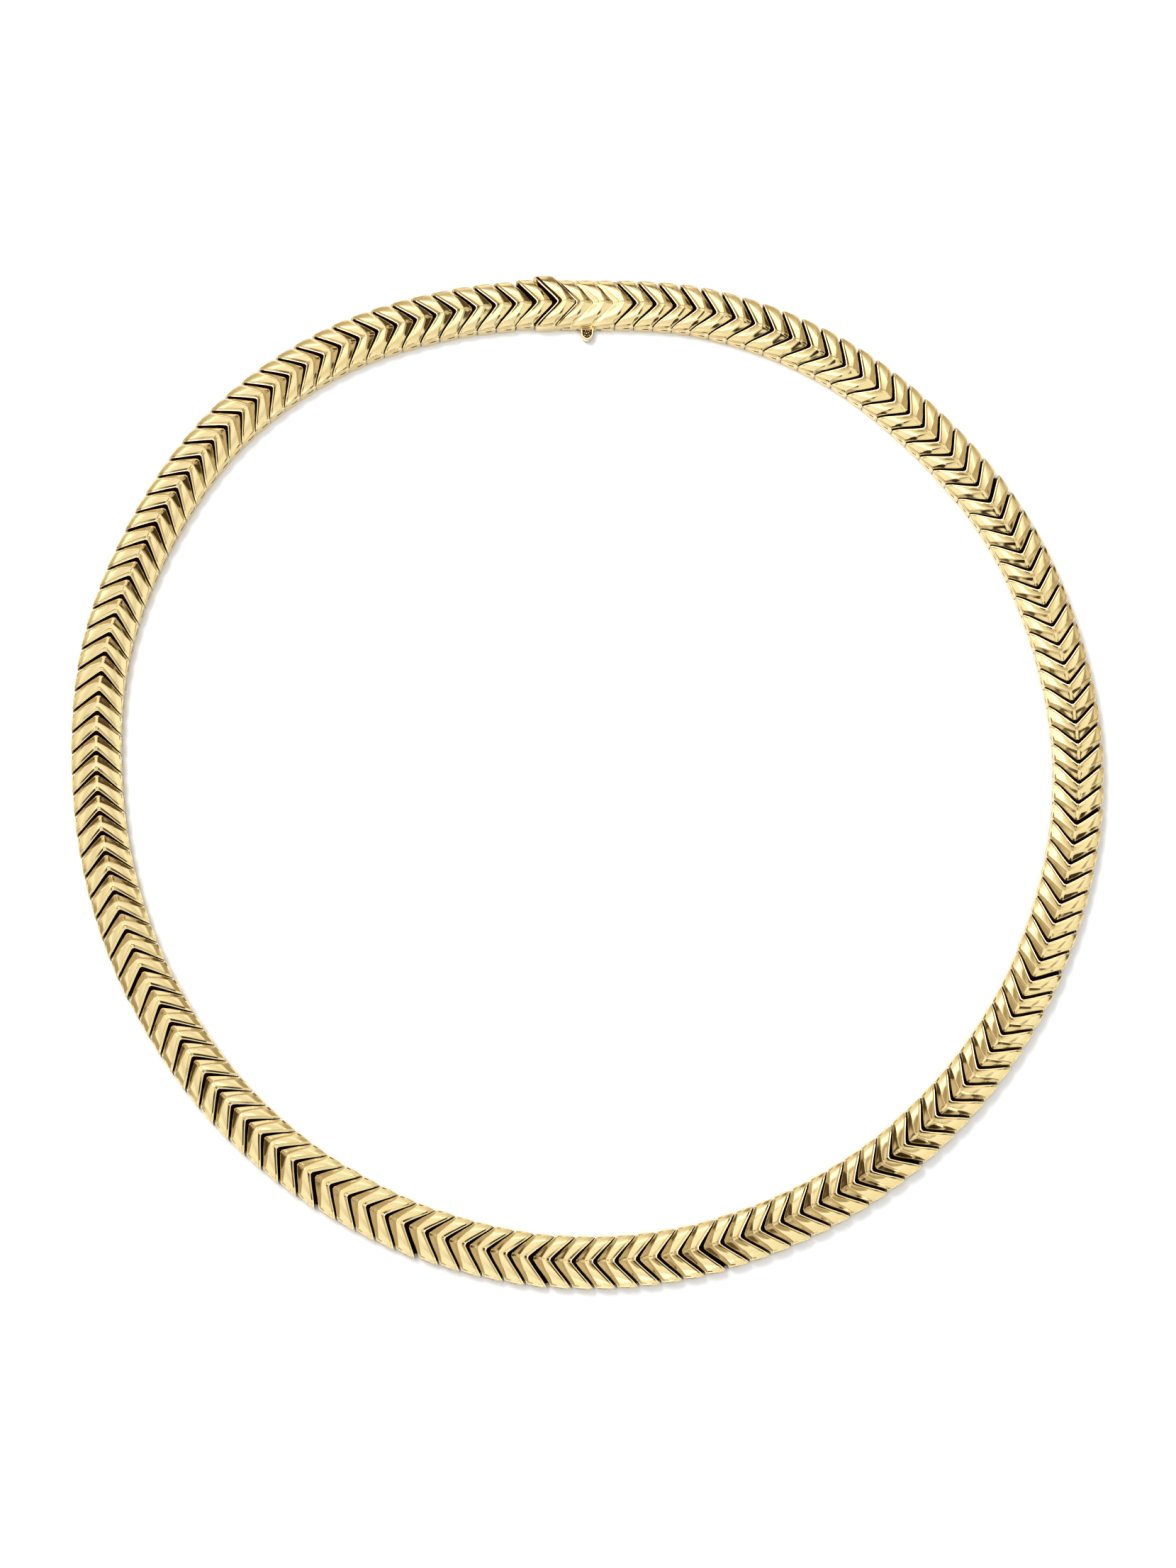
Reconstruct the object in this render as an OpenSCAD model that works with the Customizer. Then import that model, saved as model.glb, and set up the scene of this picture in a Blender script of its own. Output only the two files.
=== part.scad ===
// Chevron-link collar with a box clasp, lying face up.
// Millimetres, +Z up, origin under the middle of the loop.
// Links run clockwise seen from above. In a link's own frame X points ahead, Y outwards and Z up.

/* [Loop] */
// Links round the whole loop, with the four soldered on the clasp
link_count = 150; // [149:1:152]
// Distance from one link to the next along the centreline
link_pitch = 2.7; // [2.65:0.01:2.8]

/* [Link] */
// Width across the band
band_w = 6.6; // [6.4:0.1:6.8]
// Length of a link along the band
link_len = 2.22; // [2.1:0.01:2.24]
// How far the outer ends of a chevron lie behind its point
sweep_back = 2.75; // [2.6:0.05:2.9]
// Height of the crest at the point
crest_h = 2.8; // [2.7:0.05:3]
// How far the roof falls from the point to either end
end_drop = 0.7; // [0.6:0.05:0.75]
// Place of the crest ahead of the link's middle
crest_x = 0.15; // [0:0.05:0.3]
// Height of the rear edge at the point
rear_h = 2.25; // [2.2:0.05:2.4]
// Height of the front lip at the point
front_h = 2.3; // [2.2:0.05:2.4]
// Thickness of the sheet
sheet_t = 0.35; // [0.3:0.01:0.4]

/* [Joint between links] */
// Radius of the cross pin
pin_r = 0.2; // [0.18:0.01:0.2]
// Height of the pin's axis
pin_h = 0.62; // [0.6:0.01:0.66]
// Play between the pin and the eye all round
pin_play = 0.25; // [0.24:0.01:0.26]
// Wall of the eye
eye_wall = 0.16; // [0.14:0.01:0.16]
// Width of the eye across the band
eye_w = 1; // [0.8:0.1:1.2]

/* [Clasp] */
// How far the first chevron stands out past the others at either end
proud_w = 0.45; // [0.3:0.05:0.5]
// How far it stands up over them
proud_h = 0.35; // [0.2:0.05:0.4]
// How far it sits ahead of its place in the row
proud_x = 0.4; // [0.3:0.05:0.4]
// Thickness of the box's floor
floor_t = 0.25; // [0.2:0.01:0.28]
// Width of the tongue
tongue_w = 3; // [2.6:0.1:3.2]
// Length of the thumb tab outside the box
tab_len = 1.75; // [1.6:0.05:1.9]
// Width of the thumb tab
tab_w = 1.7; // [1.5:0.1:1.7]

/* [Hidden] */

gold = "#E9CF86";
half_w = band_w / 2;
box_links = 4;
right_links = 73;

// The centreline as it lies: direction from the middle, anticlockwise from +X, and distance
loop_shape = [
    [0, 63.9], [15, 63.9], [30, 64.3], [45, 64.6], [60, 65.2], [75, 65.1],
    [90, 64.3], [105, 65.4], [120, 66.7], [135, 66.9], [150, 65.9], [165, 65.0],
    [180, 63.7], [195, 63.1], [210, 63.0], [225, 63.3], [240, 63.6], [255, 64.0],
    [270, 64.3], [285, 64.2], [300, 64.0], [315, 63.8], [330, 63.6], [345, 63.6],
];
// Direction of the clasp's first chevron
clasp_at = 92.7;

// Where the loop has sprung open a little: link number clockwise from the clasp, and extra turn in degrees
kinks = [
    [25, 2.0], [42, 1.4], [50, 1.8], [61, 2.3], [71, 2.0],
    [79, 1.4], [85, 2.0], [90, 1.8], [103, 1.8], [126, 1.0],
];
// How far the links part there along the band
kink_slip = 0.1;

shape_rows = len(loop_shape);
shape_step = 360 / shape_rows;

// Distance of the centreline in one direction, by a smooth curve through the rows
function row_r(i) = loop_shape[(i + shape_rows) % shape_rows][1];
function smooth(a, b, c, d, t) =
    b + t * (c - a) / 2 + t * t * (a - 2.5 * b + 2 * c - d / 2)
    + t * t * t * (1.5 * b - 1.5 * c + d / 2 - a / 2);
function loop_r(dir) =
    let (s = ((dir % 360) + 360) % 360 / shape_step, i = floor(s))
    smooth(row_r(i - 1), row_r(i), row_r(i + 1), row_r(i + 2), s - i);
function raw_point(dir) = loop_r(dir) * [cos(dir), sin(dir)];

// Length along the centreline clockwise from the clasp against direction
loop_steps = 720;
function step_len(dir) = norm(raw_point(dir - 360 / loop_steps) - raw_point(dir));
walk = [
    for (k = 0, s = 0, dir = clasp_at; k <= loop_steps;
         s = s + step_len(dir), dir = dir - 360 / loop_steps, k = k + 1)
    [s, dir]
];
raw_len = walk[loop_steps][0];
loop_len = link_count * link_pitch;
function dir_at(i) = lookup(i / link_count * raw_len, walk);
function loop_point(i) = loop_len / raw_len * raw_point(dir_at(i + slip(i) / link_pitch));
function heading(i) =
    let (d = raw_point(dir_at(i) - 0.5) - raw_point(dir_at(i) + 0.5))
    atan2(d[1], d[0]);

// Turn and place of each link against the centreline: stretches of links sit close, and open at the kinks
last_link = link_count - 1;
function kink_rows(col) = concat(
    [[box_links - 1, 0]],
    [for (k = kinks) each [[k[0] - 1, col(k)], [k[0], -col(k)]]],
    [[last_link, 0]]
);
turn_rows = kink_rows(function(k) k[1] / 2);
slip_rows = kink_rows(function(k) -kink_slip / 2);
function play(i) = lookup(i, turn_rows);
function slip(i) = lookup(i, slip_rows);

// The clasp is straight: its frame lies in the middle of its chevrons
clasp_i = (box_links - 1) / 2;
function clasp_x(k) = (k - clasp_i) * link_pitch;

// The loop is set over the middle of its own box
function tip(i, x, y) =
    let (p = loop_point(i), a = heading(i) + play(i))
    [p[0] + x * cos(a) - y * sin(a), p[1] + x * sin(a) + y * cos(a)];
tips = [
    for (i = [box_links : last_link - 1])
    for (x = [-link_len / 2, link_len / 2])
    tip(i, x - sweep_back, half_w)
];
proud_tips = [
    for (x = [-link_len / 2, link_len / 2])
    tip(clasp_i, clasp_x(0) + proud_x - sweep_back * (1 + proud_w / half_w) + x, half_w + proud_w)
];
box_x = [for (p = concat(tips, proud_tips)) p[0]];
box_y = [for (p = concat(tips, proud_tips)) p[1]];
middle = [(min(box_x) + max(box_x)) / 2, (min(box_y) + max(box_y)) / 2];

module at_place(i, turn) {
    p = loop_point(i) - middle;
    translate([p[0], p[1], 0]) rotate([0, 0, turn]) children();
}
module at_link(i) {
    at_place(i, heading(i) + play(i)) children();
}
module at_clasp() {
    at_place(clasp_i, heading(clasp_i)) children();
}

// A bar that runs from the point back along one arm, with a section given at the point as [x, z]
module arm_bar(section, side) {
    run = [-sweep_back, side * half_w, -end_drop];
    tilt = acos(run[2] / norm(run));
    turn = atan2(run[1], run[0]);
    reach = 2 * band_w;
    rotate([0, tilt, turn])
        translate([0, 0, -reach / 2])
            linear_extrude(height = reach)
                polygon([
                    for (p = section)
                    [p[0] * cos(tilt) * cos(turn) - p[1] * sin(tilt), -p[0] * sin(turn)]
                ]);
}

// The same bar, cut off at the middle of the band, at the arm's end and at a floor
module arm(section, side, width, floor_z = 0) {
    intersection() {
        arm_bar(section, side);
        translate([-4 * band_w, side > 0 ? 0 : -width, floor_z]) cube([8 * band_w, width, 2 * crest_h]);
    }
}

// The front and rear of a link are open below this height at the point, so that its neighbours' pins pass
open_h = 1.62;
below = -2 * crest_h;
front_x = link_len / 2;
slope = (crest_h - rear_h) / (crest_x + front_x);
lip_x = 0.25;
lip_drop = 0.07;

// Outside of a link: rear edge, crest, foot of the steep front, lip. back lengthens it at the rear.
function roof_section(back) = [
    [-front_x - back, below],
    [-front_x - back, rear_h - back * slope],
    [crest_x, crest_h],
    [front_x - lip_x, front_h],
    [front_x, front_h - lip_drop],
    [front_x, below],
];
// Hollow of a link, open below and through the lower part of the front and the rear
function hollow_section(back) = [
    [-front_x - back - 1, below],
    [-front_x - back - 1, open_h],
    [-front_x - back + sheet_t, open_h],
    [-front_x - back + sheet_t, rear_h - back * slope - 0.8 * sheet_t],
    [crest_x, crest_h - 1.1 * sheet_t],
    [front_x - sheet_t, front_h - sheet_t],
    [front_x - sheet_t, open_h],
    [front_x + 1, open_h],
    [front_x + 1, below],
];

// Slot in each end wall of a link
slot_len = 1.15;
slot_h = 0.3;
slot_z = 1.12;
module end_slots() {
    for (side = [-1, 1])
        translate([-sweep_back, side * (half_w - sheet_t / 2), slot_z])
            cube([slot_len, 2 * sheet_t, slot_h], center = true);
}

// Hollow chevron with its end walls
module chevron(back = 0) {
    difference() {
        union() {
            arm(roof_section(back), 1, half_w);
            arm(roof_section(back), -1, half_w);
        }
        arm(hollow_section(back), 1, half_w - sheet_t, -1);
        arm(hollow_section(back), -1, half_w - sheet_t, -1);
        end_slots();
    }
}

// Eye under the point, hung from the roof by a web, and the pin that the eye of the link behind holds
eye_r = pin_r + pin_play + eye_wall;
web_top = crest_h - 0.55;
module eye() {
    difference() {
        union() {
            translate([0, 0, pin_h]) rotate([90, 0, 0])
                cylinder(r = eye_r, h = eye_w, center = true, $fn = 32);
            translate([-eye_wall, -eye_w / 2, pin_h])
                cube([2 * eye_wall + 0.1, eye_w, web_top - pin_h]);
        }
        translate([0, 0, pin_h]) rotate([90, 0, 0])
            cylinder(r = pin_r + pin_play, h = 2 * eye_w, center = true, $fn = 32);
    }
}
module cross_pin() {
    translate([-link_pitch, 0, pin_h]) rotate([90, 0, 0])
        cylinder(r = pin_r, h = band_w - sheet_t, center = true, $fn = 32);
}

module link() {
    union() {
        chevron();
        eye();
        cross_pin();
    }
}

module chain_right() {
    color(gold)
        for (i = [box_links : box_links + right_links - 1]) at_link(i) link();
}
module chain_left() {
    color(gold)
        for (i = [box_links + right_links : last_link - 1]) at_link(i) link();
}

// Heights inside the clasp: the tongue lies over the floor and the lever over the tongue
tongue_z = [0.4, 0.65];
lever_z = [0.75, 1.1];
lever_h = lever_z[1] - lever_z[0];

// The lever turns on a post in the box and its tab stands out through a window in the inner wall
post_x = clasp_x(3) - 2.1;
post_y = -1.85;
post_r = 0.22;
post_play = 0.06;
leaf_w = 0.5;
tab_x = clasp_x(1) + 0.4;
window_play = 0.3;
lever_gap = 0.15;
rim_w = 0.28;
rim_up = 0.2;
rim_play = 0.1;

// The box ends short of the eye under its last chevron
box_end_gap = 1;
box_front = clasp_x(box_links - 1) - eye_r - box_end_gap;
box_rear = clasp_x(0) - front_x + proud_x;
module box_wall(side) {
    x0 = clasp_x(0) - sweep_back;
    x1 = clasp_x(box_links - 1) - sweep_back;
    translate([x0, side > 0 ? half_w - sheet_t : -half_w, 0]) cube([x1 - x0, sheet_t, slot_z + slot_h / 2]);
}
module clasp_box() {
    color(gold) at_clasp()
        difference() {
            union() {
                for (k = [1 : box_links - 1])
                    translate([clasp_x(k), 0, 0]) chevron(back = k > 1 ? link_pitch - link_len : 0);
                translate([clasp_x(0) + proud_x, 0, 0]) proud_chevron();
                box_wall(1);
                box_wall(-1);
                translate([box_rear, -half_w, 0]) cube([box_front - box_rear, band_w, floor_t]);
                translate([post_x, post_y, 0]) cylinder(r = post_r, h = web_top - end_drop / 2, $fn = 32);
                translate([clasp_x(box_links - 1), 0, 0]) eye();
            }
            for (k = [1 : box_links - 1]) translate([clasp_x(k), 0, 0]) end_slots();
            lever_window(rim_up + rim_play, sheet_t + lever_gap);
            lever_window(lever_gap, half_w + post_y + leaf_w);
        }
}

// Room for the lever through the wall, up above and below it and some way into the box
module lever_window(up, inwards) {
    translate([tab_x - tab_w / 2 - window_play, -half_w - 1, lever_z[0] - up])
        cube([tab_w + 2 * window_play, 1 + inwards, lever_h + 2 * up]);
}

// First chevron of the clasp, wider and higher than the rest
module proud_chevron() {
    width = half_w + proud_w;
    up = [for (p = roof_section(0)) p + [0, proud_h]];
    under = [for (p = hollow_section(0)) p + [0, p[1] > open_h ? proud_h : 0]];
    difference() {
        union() {
            arm(up, 1, width);
            arm(up, -1, width);
        }
        arm(under, 1, width - sheet_t, -1);
        arm(under, -1, width - sheet_t, -1);
    }
}

// The dog of the lever hangs in the foot of an L slot in the tongue. Pressing the tab brings it into the lane
// that runs out at the tongue's tip.
dog_x = -0.6;
dog_y = -0.7;
dog_w = 0.3;
dog_play = 0.15;
press = 0.3;
lane_play = 0.1;

// Tongue: a flat strip from under the last link's point into the box. This link stands a little ahead.
tongue_x = clasp_x(-1) + 0.1;
tongue_y = -1.4;
tongue_tip = box_front - 0.3;
root_x = tongue_x - 0.4;
root_l = 0.7;
root_w = 1;
module clasp_tongue() {
    z = tongue_z[0];
    t = tongue_z[1] - z;
    color(gold) at_clasp()
        union() {
            translate([tongue_x, 0, 0]) {
                chevron();
                cross_pin();
            }
            translate([root_x, -root_w / 2, z]) cube([root_l, root_w, web_top - z]);
            difference() {
                translate([root_x, tongue_y, z]) cube([tongue_tip - root_x, tongue_w, t]);
                translate([dog_x - dog_play, dog_y - dog_play, z - 1])
                    cube([dog_w + 3 * dog_play, 2 * dog_w + 2 * dog_play, t + 2]);
                translate([dog_x, dog_y + press - lane_play, z - 1])
                    cube([2 * tongue_tip, dog_w + 2 * lane_play, t + 2]);
            }
        }
}

// Lever: from its eye on the post back to the thumb tab, with the dog at the inner end
lever_eye_r = 0.48;
module thumb_lever() {
    tab_y = -half_w - tab_len + tab_w / 2;
    color(gold) at_clasp() translate([0, 0, lever_z[0]])
        union() {
            difference() {
                union() {
                    translate([post_x, post_y, 0]) cylinder(r = lever_eye_r, h = lever_h, $fn = 32);
                    translate([tab_x, post_y - leaf_w / 2, 0]) cube([post_x - tab_x, leaf_w, lever_h]);
                }
                translate([post_x, post_y, -1]) cylinder(r = post_r + post_play, h = 3, $fn = 32);
            }
            translate([tab_x - tab_w / 2, tab_y, 0]) cube([tab_w, post_y + leaf_w / 2 - tab_y, lever_h]);
            translate([dog_x, post_y, 0]) cube([dog_w, dog_y + dog_w - post_y, lever_h]);
            translate([dog_x, dog_y, tongue_z[0] - lever_z[0]]) cube([dog_w, dog_w, lever_h]);
            thumb_tab(tab_y);
        }
}

// Thumb tab: a rounded plate with a raised rim and three grip bars, outside the wall
wall_gap = 0.12;
grip_w = 0.16;
grip_step = 0.42;
module thumb_tab(tab_y) {
    wall_y = -half_w - wall_gap;
    rim_h = lever_h + 2 * rim_up;
    r = tab_w / 2;
    difference() {
        union() {
            translate([tab_x, tab_y, -rim_up]) cylinder(r = r, h = rim_h, $fn = 48);
            translate([tab_x - r, tab_y, -rim_up]) cube([tab_w, wall_y - tab_y, rim_h]);
        }
        translate([tab_x, tab_y, lever_h / 2]) cylinder(r = r - rim_w, h = 1, $fn = 48);
        translate([tab_x - r + rim_w, tab_y, lever_h / 2]) cube([tab_w - 2 * rim_w, wall_y - tab_y + 1, 1]);
    }
    for (k = [-0.5 : 1 : 1.5])
        translate([tab_x - r + rim_w / 2, tab_y + k * grip_step - grip_w / 2, 0])
            cube([tab_w - rim_w, grip_w, lever_h]);
}

chain_right();
chain_left();
clasp_box();
clasp_tongue();
thumb_lever();
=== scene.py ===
import bpy
import bmesh
import math
import numpy as np
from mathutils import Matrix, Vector


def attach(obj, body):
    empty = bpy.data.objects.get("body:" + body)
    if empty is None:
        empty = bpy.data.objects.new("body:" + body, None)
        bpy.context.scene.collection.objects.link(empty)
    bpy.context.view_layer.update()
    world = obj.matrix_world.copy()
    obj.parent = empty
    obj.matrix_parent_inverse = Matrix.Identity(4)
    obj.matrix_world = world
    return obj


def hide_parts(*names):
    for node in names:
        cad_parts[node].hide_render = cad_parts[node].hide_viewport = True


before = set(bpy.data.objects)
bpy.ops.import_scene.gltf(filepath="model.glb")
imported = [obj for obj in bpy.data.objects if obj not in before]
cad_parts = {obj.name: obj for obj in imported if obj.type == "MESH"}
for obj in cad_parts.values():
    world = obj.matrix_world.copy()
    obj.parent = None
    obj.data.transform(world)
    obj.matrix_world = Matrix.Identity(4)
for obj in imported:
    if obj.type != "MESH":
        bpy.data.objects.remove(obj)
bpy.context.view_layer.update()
mm = 0.001

# The collar as it lies, in millimetres. The same loop as the solids have.
loop = {
    "links": 150,
    "pitch": 2.7,
    "claspLinks": 4,
    "rightLinks": 73,
    "claspAt": 92.7,      # direction of the clasp's first chevron, degrees anticlockwise from +X
    # how far out the middle of the band lies, every 15 degrees anticlockwise from +X
    "radii": [63.9, 63.9, 64.3, 64.6, 65.2, 65.1, 64.3, 65.4, 66.7, 66.9, 65.9, 65.0,
              63.7, 63.1, 63.0, 63.3, 63.6, 64.0, 64.3, 64.2, 64.0, 63.8, 63.6, 63.6],
    # links that are turned against the one before, in degrees, and how far the two also slip, in mm
    "kinks": {25: 2.0, 42: 1.4, 50: 1.8, 61: 2.3, 71: 2.0, 79: 1.4, 85: 2.0, 90: 1.8, 103: 1.8, 126: 1.0},
    "kinkSlip": 0.1,
}

# One link, millimetres. Lengths run along the band, so across an arm they show at three quarters of this.
link = {
    "length": 2.22,
    "endLength": (0.18, 0.38),  # the inner and outer arms' ends are this much longer than the point
    "width": 6.6,
    "sweep": 2.75,        # how far the arms' ends lie behind the point
    "facet": 0.17,        # half width of the flat bar along the spine
    "pointRound": 0.04,   # softens the bend from the bar to the arm
    "armBow": 0.012,      # slight S of the arms in plan, as a share of the sweep
    # Lines of the roof: height at the point, share of the arm where the line turns down, heights there and
    # at the end
    "crest": (2.76, 0.46, 2.6, 2.05),
    "rearEdge": (2.58, 0.8, 2.2, 1.85),
    "frontEdge": (2.2, 0.6, 2.22, 1.9),
    "frontLip": (1.64, 0.6, 1.5, 1.4),
    "rearLip": (2.32, 0.8, 2.0, 1.7),
    "lipWidth": (0.17, 0.08),   # rear, front
    "lipStep": 0.03,      # from the rear lip to the foot of the wall
    "rearWall": (0.28, 0.18),   # how far the rear wall leans over, at the point and at the arms' ends
    "wallShare": 0.6,     # share of a chevron's added length that its rear wall takes
    "roofStart": 0.04,    # from the top of the rear wall to the roof
    "roofBulge": 0.15,    # of the rear roof, as a share of its rise
    "flank": (1.15, 0.3), # from the crest to the front edge, at the point and at the arms' ends
    "flankPower": 1.1,    # how its width falls off between the two
    "steep": 0.42,        # share of the flank that is steep, next to the crest
    "hollow": (0.58, 0.1),      # height where the flank turns, as a share, and how much lower on the arms
    "barEnd": (0.045, 0.08),    # shares of the arm between which the bar's flank runs into the arm's
    "sheet": 0.28,        # thickness of the end walls
    "pinRadius": 0.2,
    "pinHeight": 0.62,
    "pinShort": 0.2,      # the cross pin is this much shorter than the link's width
    "eyeRadius": 0.61,
    "eyeBore": 0.45,
    "eyeWidth": 1.0,
    "eyeWeb": (-0.16, 0.26, 2.2),   # what joins the eye to the roof: rear, front, top
    "slotTop": 1.27,      # of the slot through each end wall
    "slotBottom": 0.97,
}
halfWidth = link["width"] / 2


# Loop of the collar

def rowRadius(i):
    return loop["radii"][i % len(loop["radii"])]


def loopRadius(deg):
    step = 360 / len(loop["radii"])
    s = (deg % 360) / step
    i = int(math.floor(s))
    t = s - i
    a, b, c, d = rowRadius(i - 1), rowRadius(i), rowRadius(i + 1), rowRadius(i + 2)
    return (b + t * (c - a) / 2 + t * t * (a - 2.5 * b + 2 * c - d / 2)
            + t ** 3 * (1.5 * b - 1.5 * c + d / 2 - a / 2))


def rawPoint(deg):
    r = loopRadius(deg)
    return np.array([r * math.cos(math.radians(deg)), r * math.sin(math.radians(deg))])


# Length walked clockwise from the clasp's first chevron, and the direction reached
def walkLoop(steps=720):
    lengths, dirs = [0.0], [loop["claspAt"]]
    for k in range(steps):
        here, there = rawPoint(dirs[-1]), rawPoint(dirs[-1] - 360 / steps)
        lengths.append(lengths[-1] + np.linalg.norm(there - here))
        dirs.append(dirs[-1] - 360 / steps)
    return np.array(lengths), np.array(dirs)


walkLengths, walkDirs = walkLoop()
loopScale = loop["links"] * loop["pitch"] / walkLengths[-1]
lastLink = loop["links"] - 1


# Rows that jump at each kink and drift back between the kinks
def kinkRows(before, after):
    xs, ys = [loop["claspLinks"] - 1], [0.0]
    for k, turn in loop["kinks"].items():
        xs += [k - 1, k]
        ys += [before(turn), after(turn)]
    return xs + [lastLink], ys + [0.0]


turnRows = kinkRows(lambda e: e / 2, lambda e: -e / 2)
slipRows = kinkRows(lambda e: -loop["kinkSlip"] / 2, lambda e: loop["kinkSlip"] / 2)


def dirAt(i):
    return float(np.interp(i / loop["links"] * walkLengths[-1], walkLengths, walkDirs))


def loopPoint(i):
    slip = float(np.interp(i, *slipRows))
    return loopScale * rawPoint(dirAt(i + slip / loop["pitch"]))


def heading(i):
    d = rawPoint(dirAt(i) - 0.5) - rawPoint(dirAt(i) + 0.5)
    return math.degrees(math.atan2(d[1], d[0]))


def linkTurn(i):
    return heading(i) + float(np.interp(i, *turnRows))


def claspX(k):
    return (k - (loop["claspLinks"] - 1) / 2) * loop["pitch"]


def turned(x, y, deg):
    c, s = math.cos(math.radians(deg)), math.sin(math.radians(deg))
    return np.array([x * c - y * s, x * s + y * c])


# Shape of one link. In its own frame u runs along the band, v across it and z up.

def smoothstep(a, b, x):
    t = np.clip((np.asarray(x, float) - a) / (b - a), 0, 1)
    return float(t * t * (3 - 2 * t))


# The plan of an arm: how far back the section lies at v across the band
def armSweep(v):
    w = abs(v) - link["facet"]
    w = (w + math.sqrt(w * w + link["pointRound"] ** 2)) / 2
    t = w / (halfWidth - link["facet"])
    return -link["sweep"] * (t - link["armBow"] * math.sin(2 * math.pi * t))


def heightAt(name, t):
    atPoint, turn, atTurn, atEnd = link[name]
    return float(np.interp(t, [0, turn, 1], [atPoint, atTurn, atEnd]))


def halfLength(t, side):
    return (link["length"] + link["endLength"][int(side > 0)] * t) / 2


# The section from the rear lip to the front lip. Each row hangs on a line of the roof, with an offset along
# the band and up, in millimetres.
outsideRows = [
    ("rear", 0.1, -0.14),         # 0: the rear lip, rolled under
    ("rear", 0.0, -0.08),
    ("rear", 0.04, 0.0),
    ("lip", 0.0, 0.01),
    ("wallFoot", 0.0, 0.05),      # 4: the leaning rear wall
    ("rearEdge", -0.02, -0.07),
    ("rearEdge", 0.0, -0.03),
    ("roof", 0.0, 0.0),           # 7: the rear roof
    ("roofLow", 0.0, 0.0),
    ("roofHigh", 0.0, 0.0),
    ("crest", -0.03, -0.012),     # 10: the crest
    ("crest", 0.03, -0.025),
    ("steep", 0.0, -0.01),
    ("turn", -0.03, 0.02),        # 13: the flank turns from steep to gentle
    ("turn", 0.04, -0.015),
    ("gentle", 0.0, 0.0),
    ("frontEdge", -0.04, 0.0),    # 16: the front edge
    ("frontEdge", 0.0, -0.03),
    ("frontEdge", -0.03, -0.1),   # 18: the front wall
    ("frontFoot", -0.04, 0.1),
    ("frontFoot", 0.0, 0.01),     # 20: the front lip
    ("front", -0.04, 0.0),
    ("front", 0.0, -0.08),
    ("front", -0.1, -0.14),
]
# The inside of the sheet at some of these rows. The rows between lie evenly between them.
insideRows = {
    0: ("rear", 0.12, -0.145),
    3: ("lip", 0.2, -0.2),
    4: ("lip", 0.28, -0.15),
    6: ("rearEdge", 0.3, -0.3),
    10: ("crest", 0.0, -0.3),
    13: ("turn", 0.0, -0.28),
    17: ("frontEdge", -0.3, -0.28),
    19: ("frontFoot", -0.3, 0.0),
    20: ("frontFoot", -0.2, -0.125),
    23: ("front", -0.12, -0.145),
}
roofShares = {"roofLow": 0.33, "roofHigh": 0.7}
rowCount = len(outsideRows)

# What the faces between two rows are: places in goldSet
polished, inside, paintedShade, paintedHighlight = range(4)
# rows 1 and 2, the rear lip, are painted highlight: nearly white gold for the white line along it
highlightLipRows = {1, 2}
wallRows = {4, 5}
# rows 18 to 20, the front wall and front lip, are painted shade: dark brown for the shade in the gap
shadedFrontRows = {18, 19, 20}
slotRows = (8, 10)


def onLines(lines, rows):
    return [(lines[name][0] + along, lines[name][1] + up) for name, along, up in rows]


# Points [u, z] of the section at t along an arm, 0 at the point and 1 at the end, and the same for its inside
def armSection(t, side, spec):
    t = min(max(t, 0.0), 1.0)
    half = halfLength(t, side)
    uRear, uFront = -half - spec["back"], half
    zFrontLip = heightAt("frontLip", t) + spec["lipUp"]
    zRearLip = heightAt("rearLip", t) + spec["up"]
    zRear = heightAt("rearEdge", t) + spec["up"]
    zFront = heightAt("frontEdge", t) + spec["up"]
    zCrest = heightAt("crest", t) + spec["up"]
    rearLip, frontLip = link["lipWidth"]
    leanPoint, leanEnd = link["rearWall"]
    lean = leanPoint + (leanEnd - leanPoint) * t
    wallFoot = uRear + rearLip + link["lipStep"]
    rearEdge = wallFoot + lean + spec["back"] * link["wallShare"]
    frontEdge = uFront - frontLip
    atPoint, atEnd = link["flank"]
    crest = frontEdge - atEnd - (atPoint - atEnd) * (1 - t) ** link["flankPower"]
    turn = crest + link["steep"] * (frontEdge - crest)
    onBar, lowerOnArm = link["hollow"]
    hollow = onBar - lowerOnArm * smoothstep(*link["barEnd"], t)
    zTurn = zFront + hollow * (zCrest - zFront)
    lines = {
        "rear": (uRear, zRearLip),
        "lip": (uRear + rearLip, zRearLip),
        "wallFoot": (wallFoot, zRearLip),
        "rearEdge": (rearEdge, zRear),
        "roof": (rearEdge + link["roofStart"], zRear),
        "crest": (crest, zCrest),
        "steep": ((crest + turn) / 2, (zCrest + zTurn) / 2),
        "turn": (turn, zTurn),
        "gentle": ((turn + frontEdge) / 2, (zTurn + zFront) / 2),
        "frontEdge": (frontEdge, zFront),
        "frontFoot": (frontEdge, zFrontLip),
        "front": (uFront, zFrontLip),
    }
    bulge = link["roofBulge"]
    for name, s in roofShares.items():
        along = rearEdge + link["roofStart"] + s * (crest - rearEdge - link["roofStart"])
        lines[name] = (along, zRear + (zCrest - zRear) * ((1 + bulge) * s - bulge * s * s))
    rows = onLines(lines, outsideRows)
    keys = onLines(lines, insideRows.values())
    inU = np.interp(range(rowCount), list(insideRows), [k[0] for k in keys])
    inZ = np.interp(range(rowCount), list(insideRows), [k[1] for k in keys])
    return rows, list(zip(inU, inZ))


# Stations along an arm, shares of its length
armStations = [0, 0.04, 0.052, 0.064, 0.1, 0.18, 0.28, 0.38, 0.48, 0.56, 0.595, 0.605, 0.7, 0.79, 0.87, 0.93]

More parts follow.
